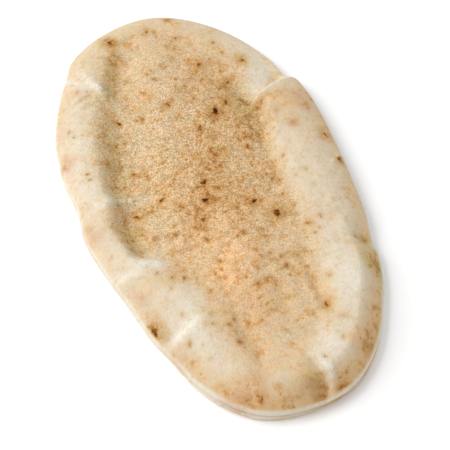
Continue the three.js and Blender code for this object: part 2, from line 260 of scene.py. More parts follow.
outline = make_outline()
outline_bearing = bearing_of(*outline.T)
outline_radius = np.hypot(*outline.T)


def place_in_outline(x, y):
    """How far in each point is from the outline, and the bearing of the places nearest to it."""
    start = np.roll(outline, 1, axis=0)
    run = outline - start
    turn = np.radians(bearing_of(*(start + run / 2).T))
    inset = np.empty(len(x))
    bearing = np.empty(len(x))
    for chunk in np.array_split(np.arange(len(x)), max(len(x) // CHUNK, 1)):
        offset = np.stack([x[chunk], y[chunk]], axis=1)[:, None] - start
        along = np.clip((offset * run).sum(axis=2) / (run * run).sum(axis=1), 0, 1)[..., None]
        away = np.linalg.norm(offset - along * run, axis=2)
        inset[chunk] = away.min(axis=1)
        nearness = np.exp((inset[chunk, None] - away) / BEARING_BLUR)
        bearing[chunk] = bearing_of(nearness @ np.sin(turn), nearness @ np.cos(turn))
    return inset, bearing


def between_stations(stations, keys, bearing):
    """The stations' values at each bearing, eased from one station to the next."""
    table = np.array(stations, float)
    table = np.vstack([table[-1], table, table[0]])
    table[0, 0] -= 360
    table[-1, 0] += 360
    after = np.searchsorted(table[:, 0], bearing, side="right")
    before = after - 1
    share = climb(bearing, table[before, 0], table[after, 0])[:, None]
    return dict(zip(keys, blend(table[before], table[after], share).T))


def rim_at(bearing):
    return between_stations(RIM_STATIONS, STATION_KEYS, bearing)


def bend_line(start, bend, end, steps=16):
    """Points of a smooth curve from start to end, drawn towards the bend."""
    share = np.linspace(0, 1, steps + 1)[:, None]
    start, bend, end = np.array([start, bend, end], float)
    return blend(blend(start, bend, share), blend(bend, end, share), share)


def beside_crease(crease, x, y):
    """For each point: how far onto the top side of the crease it is, and how strong the crease is."""
    start, bend, end, top_side = crease[:4]
    hold = crease[-1]
    line = bend_line(start, bend, end)
    nearest = np.full(len(x), np.inf)
    side = np.zeros(len(x))
    share = np.zeros(len(x))
    for number, (near, far) in enumerate(zip(line, line[1:])):
        run = far - near
        across = np.array([-run[1], run[0]]) / np.hypot(*run)
        across *= np.sign(across @ top_side)
        along = np.clip(((x - near[0]) * run[0] + (y - near[1]) * run[1]) / (run @ run), 0, 1)
        away_x = x - near[0] - along * run[0]
        away_y = y - near[1] - along * run[1]
        away = np.hypot(away_x, away_y)
        closer = away < nearest
        nearest[closer] = away[closer]
        side[closer] = (away * np.sign(away_x * across[0] + away_y * across[1]))[closer]
        share[closer] = (number + along[closer]) / (len(line) - 1)
    return side, 1 - climb(share, hold, 1)


def crease_rise(crease, x, y):
    """How far one crease lowers the tucked side, and raises its lip."""
    depth, reach, lip, crown = crease[4:8]
    side, strength = beside_crease(crease, x, y)
    step_start, step_end = LIP_STEP
    dip = (1 - climb(side, step_start * lip, step_end * lip)) * np.exp(np.minimum(side, 0) / reach)
    return strength * (crown * np.exp(-((side - lip) / lip) ** 2) - depth * dip)


def crease_paleness_and_highlight(crease, x, y):
    lip = crease[6]
    side, strength = beside_crease(crease, x, y)
    middle, width = PALE_AND_LIT_LINE
    return CREASE_PALENESS_AND_HIGHLIGHT * strength * np.exp(-((side - middle * lip) / (width * lip)) ** 2)


def patch_share(x, y, centre_x, centre_y, along, across, direction):
    """1 at the middle of a soft oval patch, fading to 0 at about twice its radii."""
    angle = math.radians(direction)
    forward = (x - centre_x) * math.sin(angle) + (y - centre_y) * math.cos(angle)
    sideways = (x - centre_x) * math.cos(angle) - (y - centre_y) * math.sin(angle)
    return np.exp(-(forward / along) ** 2 - (sideways / across) ** 2)


def plain_height(x, inset, wandered, rim):
    """Height of the rounded shoulder, the rim, the trough and the middle, before folds and lumps."""
    gap = 1 - np.minimum(inset / rim["crest"], 1)
    rounding = blend(np.sqrt(1 - gap ** 2), 1 - gap ** SLOPE_POWER, rim["steep"])
    hollow = climb(wandered, rim["brink"], rim["trough"])
    rim_part = RIM_HEIGHT * blend(rim["rim"], rim["dip"], hollow) * blend(rim["belly"], 1, rounding)
    middle = MIDDLE_HEIGHT - MIDDLE_FALL * np.hypot(x - MIDDLE_CREST, MIDDLE_ROUND)
    share = np.clip((wandered - rim["trough"]) / rim["climb"], 0, 1)
    slope = blend(climb(share, 0, 1), 1 - (1 - share) ** 2, rim["sharp"])
    return blend(rim_part, middle, slope)


def top_height(x, y):
    """Height of the upper surface at points inside the outline."""
    flat = on_floor(x, y)
    inset, bearing = place_in_outline(x, y)
    rim = rim_at(bearing)
    inner = climb(inset, *INNER_BAND)
    wandered = inset + inner * RIM_WANDER * lumps(flat, RIM_WANDER_SIZE, seed=7)
    height = plain_height(x, inset, wandered, rim)
    bent = wavering(flat, FOLD_WAVER, FOLD_WAVER_SIZE, seed=8)
    for crease in CREASES:
        height = height + crease_rise(crease, *bent) * climb(inset, -1, rim["crest"] / 2)
    for *patch, rise in SWELLS:
        height = height + rise * patch_share(*bent, *patch) * inner
    height = height + layered_lumps(flat, DOUGH_LUMPS) * climb(inset, 0, LUMPS_FULL)
    excess = height - RIM_HEIGHT
    return height - (excess + np.hypot(excess, CEILING_EASE)) / 2


# ==== The mesh of the crust ====

def place_on_oval(bearing, inset):
    """Where a point given by its bearing and nominal inset belongs on the oval."""
    radius = np.interp(bearing, outline_bearing, outline_radius, period=360)
    ahead = np.interp(bearing + 1, outline_bearing, outline_radius, period=360)
    behind = np.interp(bearing - 1, outline_bearing, outline_radius, period=360)
    slant = np.hypot(1, (ahead - behind) / (2 * math.radians(1) * radius))
    stretch = blend(slant, radius / HALF_WIDTH, climb(inset, EDGE_BAND, HALF_WIDTH / 2))
    reach = np.maximum(radius - inset * stretch, 0)
    angle = np.radians(bearing)
    return reach * np.sin(angle), reach * np.cos(angle)


def ring_bearings(count):
    return np.arange(count) * 360 / count


def base_line(bearing):
    """How far in from the outline the underside leaves the floor, along a slightly ragged line."""
    around = on_floor(*place_on_oval(bearing, 0))
    middle, width = TATTERED_AT
    uneven = np.maximum(EVEN_TATTER + layered_lumps(around, TATTER_LUMPS), 0)
    tatters = TATTERS * np.exp(-((bearing - middle) / width) ** 2) * uneven
    return rim_at(bearing)["foot"] + tatters + layered_lumps(around, BASE_LUMPS)


def underside_ring(count, inset):
    """A ring of the flat underside. inset goes from EDGE_BAND, at its edge, inwards."""
    bearing = ring_bearings(count)
    edge = climb(inset, EDGE_EASE, EDGE_BAND)
    return on_floor(*place_on_oval(bearing, inset + (base_line(bearing) - EDGE_BAND) * edge))


def side_ring(count, turn):
    """A ring of the side. turn goes from 0, at the underside, to 90 degrees at the widest part."""
    bearing = ring_bearings(count)
    rim = rim_at(bearing)
    belly = rim["belly"] * RIM_HEIGHT * rim["rim"]
    out = math.sin(math.radians(turn)) ** SIDE_BLUNTNESS
    up = 1 - math.cos(math.radians(turn)) ** SIDE_BLUNTNESS
    height = belly * up
    above_seam = height - SEAM_HEIGHT * belly
    seam = SEAM_DEPTH * np.exp(-(above_seam / SEAM_WIDTH) ** 2)
    shows = climb(rim["foot"], WIDE_FOOT, NARROW_FOOT) * climb(height, *LIP_START)
    ledge = LOWER_LIP * shows * climb(above_seam, SEAM_WIDTH, -SEAM_WIDTH)
    x, y = place_on_oval(bearing, base_line(bearing) * (1 - out) + seam - ledge)
    return np.stack([x, y, height], axis=1)


def top_ring(count, inset):
    """A ring of the upper surface, whose heights are worked out later."""
    x, y = place_on_oval(ring_bearings(count), inset)
    return np.stack([x, y, np.full(count, np.nan)], axis=1)


def count_at(inset):
    """How many points a ring has: half as many each time its size has halved."""
    size = max(HALF_WIDTH - inset, HALF_WIDTH / 2 ** MOST_HALVINGS)
    return STEPS_AROUND // 2 ** int(math.log2(HALF_WIDTH / size))


def top_insets():
    """Close rings over the rounded shoulder, then even ones as far as the centre."""
    share = np.linspace(0, 1, TOP_RINGS, endpoint=False)
    return HALF_WIDTH * blend(share ** CROWDING, share, EVEN_RINGS)


def join_rings(outer, inner):
    """Faces between two neighbouring rings of points, seen from above. inner may have half as many."""
    faces = []
    step = len(outer) // len(inner)
    for index, here in enumerate(inner):
        there = inner[(index + 1) % len(inner)]
        edge = [outer[(index * step + k) % len(outer)] for k in range(step + 1)]
        if step == 1:
            faces.append((edge[0], here, there, edge[1]))
        else:
            faces.append((edge[0], here, edge[1]))
            faces.append((edge[1], here, there))
            faces.append((edge[1], there, edge[2]))
    return faces


def crust_rings():
    """All rings from the middle of the underside, out and over the side, to the middle of the top."""
    rings = []
    for inset in np.linspace(HALF_WIDTH, EDGE_BAND, UNDERSIDE_RINGS, endpoint=False)[1:]:
        rings.append(underside_ring(count_at(inset), inset))
    for turn in np.linspace(0, 90, SIDE_RINGS, endpoint=False):
        rings.append(side_ring(STEPS_AROUND, turn))
    for inset in top_insets():
        rings.append(top_ring(count_at(inset), inset))
    return rings


def crust_mesh():
    """Points and faces of the whole crust, in plan millimetres, and which points are on its top."""
    rings = crust_rings()
    points = np.vstack([(0, 0, 0), *rings, (0, 0, np.nan)])
    on_top = np.isnan(points[:, 2])
    points[on_top, 2] = top_height(points[on_top, 0], points[on_top, 1])
    faces = []
    start = 1
    numbers = []
    for ring in rings:
        numbers.append(list(range(start, start + len(ring))))
        start += len(ring)
    first, last = numbers[0], numbers[-1]
    faces += [(0, first[k], first[(k + 1) % len(first)]) for k in range(len(first))]
    for low, high in zip(numbers, numbers[1:]):
        if len(low) >= len(high):
            faces += join_rings(low, high)
        else:
            faces += [face[::-1] for face in join_rings(high, low)]
    faces += [(start, last[(k + 1) % len(last)], last[k]) for k in range(len(last))]
    return points, faces, on_top


# ==== Baking: one number a point, from pale dough through golden to scorched ====

# The rim's own baking at a bearing: its paleness, where the toasted middle begins and over what
# width, and how brown its outer edge is
BAKE_KEYS = ("bearing", "pale", "toast", "ease", "edge")
BAKE_STATIONS = [
    (0, 0.58, 6, 7, 0.10),
    (20, 0.58, 8, 8, 0.05),
    (36, 0.50, 12, 8, 0.00),
    (48, 0.46, 19, 4, 0.10),
    (60, 0.66, 25.5, 1.8, 0.20),
    (78, 0.57, 27, 2.2, 0.30),
    (100, 0.56, 28, 5, 0.30),
    (118, 0.56, 26, 8, 0.30),
    (132, 0.50, 24, 8, 0.35),
    (146, 0.40, 22, 7, 0.70),
    (160, 0.50, 20, 8, 1.00),
    (174, 0.62, 18, 8, 0.80),
    (190, 0.66, 15, 8, 0.75),
    (206, 0.50, 18, 9, 0.45),
    (222, 0.44, 25, 11, 0.15),
    (240, 0.52, 19, 8, 0.15),
    (262, 0.50, 11, 5, 0.12),
    (285, 0.42, 13, 6, 0.12),
    (305, 0.42, 15, 6, 0.12),
    (322, 0.52, 15, 6, 0.15),
    (337, 0.62, 13, 6, 0.10),
    (348, 0.58, 9, 6, 0.05),
]
MIDDLE_BAKE = 0.92
SIDE_BAKE_AND_PAINTED_LIGHT = 0.30                 # the pale sides: their own pale dough, made paler still as painted bounce light
UNDER_BAKE = 0.75                # the underside, toasted by the oven's floor
UNDER_EDGE = 0.8                 # height at which the underside's baking has given way to the side's
UNDER_LUMPS = [(0.12, 26, 18), (0.08, 9, 19)]
TOAST_LUMPS = [(2.2, 9, 11), (1.6, 4, 12)]    # how the toasted middle's edge wanders
EDGE_WANDER = 0.4                # the share of that by which the baked outer edge wanders
GRITTY_PATCH = (0, 18, 78, 60, 0)   # where the crust is rough as sand; it is smooth towards the rim
RIM_GRIT = 0.16
SIDE_FADE = (0.2, 1.4)           # insets between which the side's pale colour fades out
EDGE_BAKED_AT = 1                # inset where the outer edge is most baked, and how wide it is baked
EDGE_BAKE_WIDTH = 6

# x, y, radius along, radius across, direction, how much more (or less) baked. These stay inside
# the toasted middle:
MIDDLE_WASHES = [
    (2.8, -2.6, 34, 26, 0, 0.26),   # its heart
    (5.8, 15.4, 38, 10, 22, 0.28),  # from there to the right upper fold
    (-0.2, -8.6, 12, 9, 0, 0.14),
    (-24.2, 2.4, 10, 6, 60, 0.12),
    (24.8, 39.6, 20, 7, -2, 0.40),  # down in the right trough
    (14.7, 59.9, 16, 7, 8, 0.26),
    (-24.3, 62, 13, 4, 20, 0.30),   # far end of the left trough
    (-18.4, 80.2, 12, 3, 15, 0.32),
    (-35.2, 27.4, 22, 5, 10, 0.26),
    (-40.2, -8.6, 13, 5, 0, 0.36),
    (-6.2, -58.6, 13, 13, 0, 0.28),
    (-38.2, -24.6, 6, 4, 0, 0.20),
    (5.8, -60.6, 9, 2.2, 3, 0.16),
    (20.8, -60.6, 14, 3.0, -4, 0.42),
    (-18.2, 7.4, 12, 7, 0, 0.20),
    (-26.2, -34.6, 9, 7, 0, 0.28),
    (-24.2, -58.6, 8, 6, 0, 0.25),
    (3.8, -89.6, 6, 5, 0, -0.22),
]
# and these lie on the rim or across its edge; a few paint shade into fold hollows or a highlight onto a
# lip:
RIM_WASHES = [
    (13.8, -85.6, 8, 7, 0, -0.34),       # pale dough by the near end crease
    (2.3, -98, 4.5, 4.5, 0, 0.42),       # brown pocket on its other side: browned dough with painted shade
    (9.5, -98, 6, 1.8, -8, -0.60),       # the lip between them: pale dough, with a painted highlight
    (-30.2, -64.6, 10, 9, 30, -0.16),
    (33.8, -62.6, 15, 6, -15, -0.16),    # the pale puff
    (37.7, 51.8, 9, 7, 60, -0.16),       # pale tucked dough at the right upper fold
    (40.8, 36.5, 10, 3.5, 68, 0.26),     # toasted dough along its lip
    (42.8, 29, 13, 8, -5, 0.20),
    # painted shade: a darker wedge in the hollow at the edge of the right upper fold
    (46.4, 49.7, 4, 1.8, 65, 0.60),
    (47, -45.5, 5, 2.4, 62, 0.55),       # painted shade on the tucked dough at the right lower fold
    (46, -58.2, 9, 2.8, -18, 0.70),      # toasted dough below it
    (-36.2, -27.6, 7, 3.4, 105, -0.50),  # pale end of the left trough
    (-37.4, 6.4, 9, 2.2, 92, -0.55),     # pale ridge across it
    (-27.6, 64, 13, 2.8, 157, -0.50),    # pale ridge at the end of the left upper crease
    (-38.2, -38.6, 9, 6, 60, 0.24),
    (-24, -92.6, 14, 4, 60, 0.34),
    (1.9, -98.7, 5, 9, 90, 0.30),
    (28, -91.1, 9, 3, -50, 0.34),
]

# x, y, radius, how brown: freckles with a soft edge
FRECKLES = [
    (16.8, 36.2, 1.3, 0.6), (20.5, 27.7, 1.0, 0.5), (24.3, 18.4, 1.0, 0.5), (11.6, -0.6, 1.1, 0.5),
    (24.3, -3.6, 1.4, 0.6), (24.8, -13.1, 1.2, 0.6), (8.3, -18.1, 0.9, 0.5), (37.8, -15.1, 1.2, 0.35),
    (32.8, -7.6, 1.1, 0.4), (48.4, -24.8, 0.8, 0.5), (33.8, -30.1, 1.2, 0.5), (25.8, -33.6, 1.0, 0.5),
    (31.6, -35.6, 1.0, 0.45), (18.8, -43.6, 1.3, 0.5), (-14.2, -43.6, 1.0, 0.5), (-20.2, -47.1, 0.9, 0.4),
    (-18.2, -64.6, 1.3, 0.7), (-11.2, -65.1, 1.0, 0.5), (-36.7, -33.6, 1.0, 0.6), (-33.7, -54.1, 1.3, 0.5),
    (-42.2, -18.1, 0.9, 0.5), (-27.2, 37.1, 1.0, 0.6), (-31.2, 35.5, 0.9, 0.5), (-37.7, 26.9, 1.0, 0.5),
    (-24.7, 20.1, 1.0, 0.5), (-24.2, 14.9, 1.1, 0.5), (-34.8, 42.1, 0.9, 0.5), (7.6, 73.6, 1.4, 0.4),
    (4.6, 91.8, 1.0, 0.5), (16.2, 64.5, 1.1, 0.4), (32.8, 35.5, 1.6, 0.6), (35.3, 36.8, 0.9, 0.6),
    (42.3, 17.9, 2.2, 0.3), (51.9, 27, 2.2, 0.45), (49.9, 34.7, 2.6, 0.25), (43.3, 29, 1.4, 0.3),
    (22.8, -76.6, 2.0, 0.3), (-38.3, 67.6, 0.9, 0.7), (-39.1, 73.4, 0.7, 0.6), (-55, 30.9, 1.6, 0.4),
]
FRECKLE_SEED = 17
RANDOM_FRECKLES = 420
CLUSTERED = 0.45                 # share of them that lie close to the one before
CLUSTER_SPREAD = 2.6
FRECKLED_MIDDLE = (1, 0)         # x and y about which the others lie, and how far they spread
FRECKLED_SPREAD = (25, 50)
FRECKLE_RADII = (0.5, 1.3)
FRECKLE_BROWNS = (0.25, 0.92)    # squared, so that most of them are faint
FRECKLE_CORE = (0.7, 0.75)       # a freckle's core and its halo: size in radii, and how brown
FRECKLE_HALO = (1.7, 0.35)
RIM_FRECKLES = 0.8               # how brown a freckle is on the rim, as a share

# x, y, radius across, stretch along, direction of the stretch, darkness: dark scorch marks
SCORCH_MARKS = [
    (-16.2, 92.9, 1.8, 1.1, 0, 1.0), (14.3, 38.1, 1.6, 1.3, 0, 1.0), (19.3, -21.1, 1.8, 1.2, 90, 1.0),
    (-46, -56.1, 1.7, 2.2, 18, 1.0), (-6.2, -5.9, 1.1, 1.9, 140, 1.0), (11.8, -12.6, 1.2, 1.4, 10, 1.0),
    (-3.8, 3.2, 1.1, 1.7, 30, 1.0), (-26.8, 48.2, 1.1, 1.3, 0, 0.89), (-3.9, 47.7, 0.9, 1.6, 70, 0.84),
    (-1.3, 49.2, 0.8, 1.4, 0, 0.84), (36.2, 63.2, 1.2, 1.4, 40, 0.94), (26.2, 54.3, 1.2, 1.8, 75, 0.69),
    (20.7, 42.1, 1.1, 1.5, 0, 0.84), (13.1, 85.2, 0.9, 1.5, 70, 0.84), (1.1, 93.4, 0.8, 2.6, 25, 0.94),
    (53, 9.4, 1.3, 1.4, 0, 0.89), (54, -4.2, 1.2, 1.3, 60, 0.94), (-10.2, -14.6, 1.1, 1.2, 0, 0.79),
    (-13.9, -14.9, 0.9, 1.1, 0, 0.64), (20.3, -68.6, 1.3, 1.3, 20, 0.79), (28.8, -31.6, 1.1, 1.2, 0, 0.64),
    (-34.7, -1.1, 0.9, 1.8, 160, 0.74), (-22.5, 1.6, 0.8, 2.4, 50, 0.74), (4.8, 31, 0.9, 1.8, 0, 0.84),
    (-10.3, 54.8, 1.1, 1.1, 0, 0.54), (13.7, 98.4, 0.9, 1.6, 75, 0.74), (-56.8, 5, 0.8, 1.6, 20, 0.74),
    (10.6, 78.7, 0.9, 1.8, 45, 0.54), (-17.6, -96.9, 0.9, 1.2, 0, 0.74), (18.1, 66.5, 1.4, 1.4, 0, 0.65),
]
SCORCH_HALO = 2.3                # a mark's brown halo, in radii
SCORCH_BROWN = 0.52              # how brown the halo is at its middle


def bake_at(bearing):
    return between_stations(BAKE_STATIONS, BAKE_KEYS, bearing)


# The warm patch, and the part of the base whose lower layer is browned: x, y, radius along,
# radius across, direction
PEACH_PATCH = (-8.2, -38.6, 17, 9, 5)
BASE_LIP_PATCH = (17, -99, 16, 26, -18)
LIP_BROWNED = (1.6, 2.8)         # heights between which that browning ends

# Pinkish tan patches on the pale rim, and the strength of each
BLUSHES = [
    (-54, 32.7, 6, 3.4, 0, 0.85),
    (-52, 49.9, 9, 2.6, 25, 0.4),
    (-54, -5.6, 6, 3.6, 8, 0.85),
    (-46.5, -41, 7, 2.6, -28, 0.7),
    (-39.2, 66.7, 5, 3.5, 60, 0.35),
    (-40, -71.1, 7, 4, -30, 0.6),
    (-24, -93.5, 5, 11, -20, 0.7),
    (-2.1, -99.6, 4, 10, 0, 0.6),
    (42.8, 18.4, 3.4, 2.6, 0, 0.9),
    (38, 27, 4, 2.4, 30, 0.6),
    (46, 33, 6, 2.6, -30, 0.7),
    (50.9, 29.8, 7, 3, -5, 0.8),
    (32.8, -29.6, 5, 3, 30, 0.4),
]

# Hollows where toasted dough gets a greenish painted shade: x, y, radius along, radius across, direction
PAINTED_SHADE_HOLLOWS = [
    (-35.2, 27.4, 26, 5.5, 10),
    (-40.2, -10.6, 13, 5, 4),
    (-23.4, 70.1, 16, 4, 20),
    (26.8, 35.5, 16, 6, -5),
    (1.8, -98, 5, 6, 0),
    (47, -46.5, 5, 4, 0),
    (46, -62, 14, 4, -15),
]


def all_freckles():
    """The named freckles, then random ones in loose clusters, thickest over the toasted middle."""
    random = np.random.default_rng(FRECKLE_SEED)
    found = list(FRECKLES)
    x, y = 0, 0
    for _ in range(RANDOM_FRECKLES):
        if random.uniform() < CLUSTERED:
            x += random.normal(0, CLUSTER_SPREAD)
            y += random.normal(0, CLUSTER_SPREAD)
        else:
            x = random.normal(FRECKLED_MIDDLE[0], FRECKLED_SPREAD[0])
            y = random.normal(FRECKLED_MIDDLE[1], FRECKLED_SPREAD[1])
        radius = random.uniform(*FRECKLE_RADII)
        found.append((x, y, radius, random.uniform(*FRECKLE_BROWNS) ** 2))
    return found


def freckle_amount(x, y):
    """How brown the freckles make each point: each has a small core and a paler halo."""
    core_size, core_brown = FRECKLE_CORE
    halo_size, halo_brown = FRECKLE_HALO
    amount = np.zeros_like(x)
    for centre_x, centre_y, radius, strength in all_freckles():
        core = patch_share(x, y, centre_x, centre_y, core_size * radius, core_size * radius, 0)
        halo = patch_share(x, y, centre_x, centre_y, halo_size * radius, halo_size * radius, 0)
        amount = np.maximum(amount, strength * (core_brown * core + halo_brown * halo))
    return amount


def scorch_amount(x, y):
    """How scorched each point is, and how brown the marks' halos make it, both from 0 to 1."""
    scorch = np.zeros_like(x)
    brown = np.zeros_like(x)
    for centre_x, centre_y, radius, stretch, direction, darkness in SCORCH_MARKS:
        core = patch_share(x, y, centre_x, centre_y, radius * stretch, radius, direction)
        wide = radius * SCORCH_HALO
        halo = patch_share(x, y, centre_x, centre_y, wide * (1 + stretch) / 2, wide, direction)
        scorch = np.maximum(scorch, darkness * core)
        brown = np.maximum(brown, SCORCH_BROWN * darkness * halo)
    return scorch, brown


def top_bake(bent, inset, wander, toast, own):
    """How baked the upper crust is, with painted shade in some fold hollows and painted highlights on
    crease lips. toast is 0 on the rim and 1 on the toasted middle.
    """
    from_edge = inset + EDGE_WANDER * wander - EDGE_BAKED_AT
    bake = blend(own["pale"], MIDDLE_BAKE, toast)
    bake = bake + own["edge"] * np.exp(-(from_edge / EDGE_BAKE_WIDTH) ** 2)
    for *patch, amount in MIDDLE_WASHES:
        bake = bake + amount * toast * patch_share(*bent, *patch)
    for *patch, amount in RIM_WASHES:
        bake = bake + amount * patch_share(*bent, *patch)
    for crease in CREASES:
        bake = bake - crease_paleness_and_highlight(crease, *bent)
    return bake


def side_bake(points):
    """How baked the sides and the underside are; the sides' paleness is partly painted bounce light."""
    under = UNDER_BAKE + layered_lumps(points, UNDER_LUMPS)
    return blend(under, SIDE_BAKE_AND_PAINTED_LIGHT, climb(points[:, 2], 0, UNDER_EDGE))


def markings(points, on_top):
    """The named numbers that the crust's material reads, one for each point of the mesh."""
    x, y, z = points.T
    inset, bearing = place_in_outline(x, y)
    own = bake_at(bearing)
    upper = on_top * climb(inset, *SIDE_FADE)
    wander = layered_lumps(points, TOAST_LUMPS)
    toast = climb(inset + wander, own["toast"] - own["ease"], own["toast"] + own["ease"])
    bent = wavering(points, amount=1.5, size=7, seed=13)
    frayed = wavering(points, amount=0.5, size=1.5, seed=15)
    torn = wavering(points, amount=1.0, size=1.7, seed=25)
    freckles = freckle_amount(*frayed) * blend(RIM_FRECKLES, 1, toast)
    scorch, brown = scorch_amount(*torn)
    lip_height = z + 1.2 * lumps(points, size=5, seed=17)
    return {
        "bake": blend(side_bake(points), top_bake(bent, inset, wander, toast, own), upper),
        "peach": patch_share(*bent, *PEACH_PATCH),
        "scorch": scorch * upper,
        "freckle": np.maximum(freckles, brown) * upper,
        "blush": np.max([share * patch_share(*bent, *patch) for *patch, share in BLUSHES], axis=0),
        "painted_hollow_shade": np.max([patch_share(*bent, *hollow) for hollow in PAINTED_SHADE_HOLLOWS], axis=0),
        "grit": blend(RIM_GRIT, 1, toast * patch_share(x, y, *GRITTY_PATCH)) * upper,
        "lip": patch_share(x, y, *BASE_LIP_PATCH) * (1 - climb(lip_height, *LIP_BROWNED)),
    }


# ==== Materials ====

def linear(red, green, blue):
    """A colour given as it looks on a screen, 0 to 255, as the shader needs it."""
    def one(value):
        value /= 255
        return value / 12.92 if value <= 0.04045 else ((value + 0.055) / 1.055) ** 2.4
    return (one(red), one(green), one(blue), 1.0)


# The crust's colour at each degree of baking
BAKE_COLOURS = [
    (0.15, linear(227, 220, 205)),
    (0.40, linear(220, 208, 187)),
    (0.55, linear(217, 200, 174)),
    (0.75, linear(214, 191, 156)),
    (1.00, linear(215, 184, 144)),
    (1.20, linear(214, 178, 132)),
    (1.40, linear(207, 168, 118)),
    (1.60, linear(188, 145, 91)),
    (2.00, linear(142, 99, 50)),
    (2.60, linear(78, 48, 21)),
    (3.20, linear(38, 22, 9)),
]
PEACH = linear(236, 192, 145)    # a warm, lighter patch in the middle
PAINTED_PIT_SHADE = (0.67, 0.55, 0.35, 1)       # painted shade: what multiplies the colour down in the crust's pits
PAINTED_CRUMB_HIGHLIGHT = (1.27, 1.35, 1.50, 1)     # painted highlight: what multiplies it up on its raised crumbs
PAINTED_HOLLOW_SHADE = (0.86, 0.92, 0.82, 1)     # painted shade, greenish, where toasted dough lies in a hollow
GREENER_TINT = (0.99, 1.005, 0.98, 1)  # the two ends of the crust's drift in hue
PINKER_TINT = (1.01, 0.995, 1.02, 1)
BLUSH = linear(201, 163, 128)    # lightly toasted patches on the rim
BROWNING = [                     # what multiplies the colour of browned spots, from none to deep
    (0.0, (1, 1, 1, 1)),
    (0.3, (0.88, 0.75, 0.56, 1)),
    (0.6, (0.69, 0.50, 0.29, 1)),
    (1.0, (0.42, 0.26, 0.10, 1)),
]
WELL_BAKED = 1.62                # as far as the crust's own unevenness bakes it
MOST_BAKED = BAKE_COLOURS[-1][0]
SCORCHING = MOST_BAKED - 1.5     # how much more baked a scorch mark is
LIP_BROWNING = 1.4               # and the browned lip at the base
CLOT_BROWN = 0.44                # how brown the toasted crust's clots are
RIM_PAINTED_GRAIN_LIGHT = 0.55            # how much the relief's painted pit shade and crumb highlight tint the smooth rim; the gritty middle has 1
BUMP_HEIGHT = 0.13               # of the fine relief, in plan millimetres

# The sockets of Blender's Mix node that hold colours; others with the same names hold numbers
MIX_FIRST, MIX_SECOND, MIX_RESULT = 6, 7, 2


class Shader:
    """A material's node tree, with one short call for each node."""

    def __init__(self, name):
        self.material = bpy.data.materials.new(name)
        self.material.use_nodes = True
        self.tree = self.material.node_tree
        self.surface = self.tree.nodes["Principled BSDF"]
        self.place = self.node("ShaderNodeTexCoord").outputs["Object"]

    def node(self, kind, inputs=(), **settings):
        made = self.tree.nodes.new(kind)
        for key, value in settings.items():
            setattr(made, key, value)
        for key, value in dict(inputs).items():
            self.put(made.inputs[key], value)
        return made

    def put(self, socket, value):
        """Links an output to the socket, or sets the socket's own value."""
        if isinstance(value, bpy.types.NodeSocket):
            self.tree.links.new(value, socket)
        else:
            socket.default_value = value

    def mark(self, name):
        return self.node("ShaderNodeAttribute", attribute_name=name).outputs["Fac"]

    def noise(self, size, detail, roughness=0.5):
        """Noise from 0 to 1 whose lumps are about `size` plan millimetres across."""
        inputs = {"Vector": self.place, "Scale": 1 / (size * MM), "Detail": detail,
                  "Roughness": roughness}
        return self.node("ShaderNodeTexNoise", inputs).outputs["Fac"]

    def scale(self, value, from_low, from_high, to_low=0.0, to_high=1.0):
        """The value moved from one range to another, clamped and eased at the ends."""
        inputs = {"Value": value, "From Min": from_low, "From Max": from_high,
                  "To Min": to_low, "To Max": to_high}
        made = self.node("ShaderNodeMapRange", inputs, interpolation_type="SMOOTHSTEP")
        return made.outputs["Result"]

    def spread(self, value, amount):
        """Noise that mostly stays within 0.25 of 0.5, turned into a number within `amount` of 0."""
        return self.times(self.maths("SUBTRACT", value, 0.5), amount * 4)

    def maths(self, operation, first, second):
        made = self.node("ShaderNodeMath", {0: first, 1: second}, operation=operation)
        return made.outputs["Value"]

    def times(self, first, second):
        return self.maths("MULTIPLY", first, second)

    def total(self, *values):
        result = values[0]
        for value in values[1:]:
            result = self.maths("ADD", result, value)
        return result

    def mix(self, first, second, share, blend_type="MIX"):
        """One colour laid over another by a share."""
        made = self.node("ShaderNodeMix", {"Factor": share}, data_type="RGBA", blend_type=blend_type)
        self.put(made.inputs[MIX_FIRST], first)
        self.put(made.inputs[MIX_SECOND], second)
        return made.outputs[MIX_RESULT]

    def tint(self, colour, tint, share=1.0):
        """A colour multiplied by a tint, by a share."""
        return self.mix(colour, tint, share, "MULTIPLY")

    def ramp(self, value, stops):
        """A colour read from (place, colour) stops, places from 0 to 1."""
        made = self.node("ShaderNodeValToRGB", {"Fac": value})
        elements = made.color_ramp.elements
        while len(elements) < len(stops):
            elements.new(0.5)
        for element, (place, colour) in zip(elements, stops):
            element.position = place
            element.color = colour
        return made.outputs["Color"]


def speckle(shader, size, radius, rarity):
    """Tiny round specks, 0 to 1: one in each Voronoi cell that is rare enough."""
    cells = shader.node("ShaderNodeTexVoronoi", {"Vector": shader.place, "Scale": 1 / (size * MM)})
    channels = shader.node("ShaderNodeSeparateColor", {"Color": cells.outputs["Color"]})
    chosen = shader.scale(channels.outputs["Red"], rarity, 1.0)
    dot = shader.scale(cells.outputs["Distance"], radius / size, 0.3 * radius / size)
    return shader.times(chosen, dot)


def uneven_bake(shader, cloud, patch, coarse, rough):
    """How baked each spot is: the mesh's own baking, made uneven and spotty, then scorched."""
    own = shader.mark("bake")
    specks = speckle(shader, size=3.2, radius=0.75, rarity=0.45)
    blotches = shader.scale(shader.noise(2.2, detail=2, roughness=0.6), 0.50, 0.70)
    spots = shader.total(shader.times(specks, 0.80), shader.times(blotches, 0.34))
    clustered = shader.scale(cloud, 0.38, 0.62, 0.4, 1.3)
    uneven = shader.total(shader.spread(cloud, 0.14), shader.spread(patch, 0.24),
                          shader.times(spots, clustered), -0.10)
    bake = shader.total(own, shader.times(uneven, rough))
    bake = shader.maths("MINIMUM", bake, shader.maths("MAXIMUM", own, WELL_BAKED))
    ragged = shader.total(shader.mark("scorch"), shader.spread(coarse, 0.26))
    scorched = shader.scale(ragged, 0.2, 1.1, 0.0, SCORCHING)
    return shader.total(bake, scorched, shader.times(shader.mark("lip"), LIP_BROWNING))


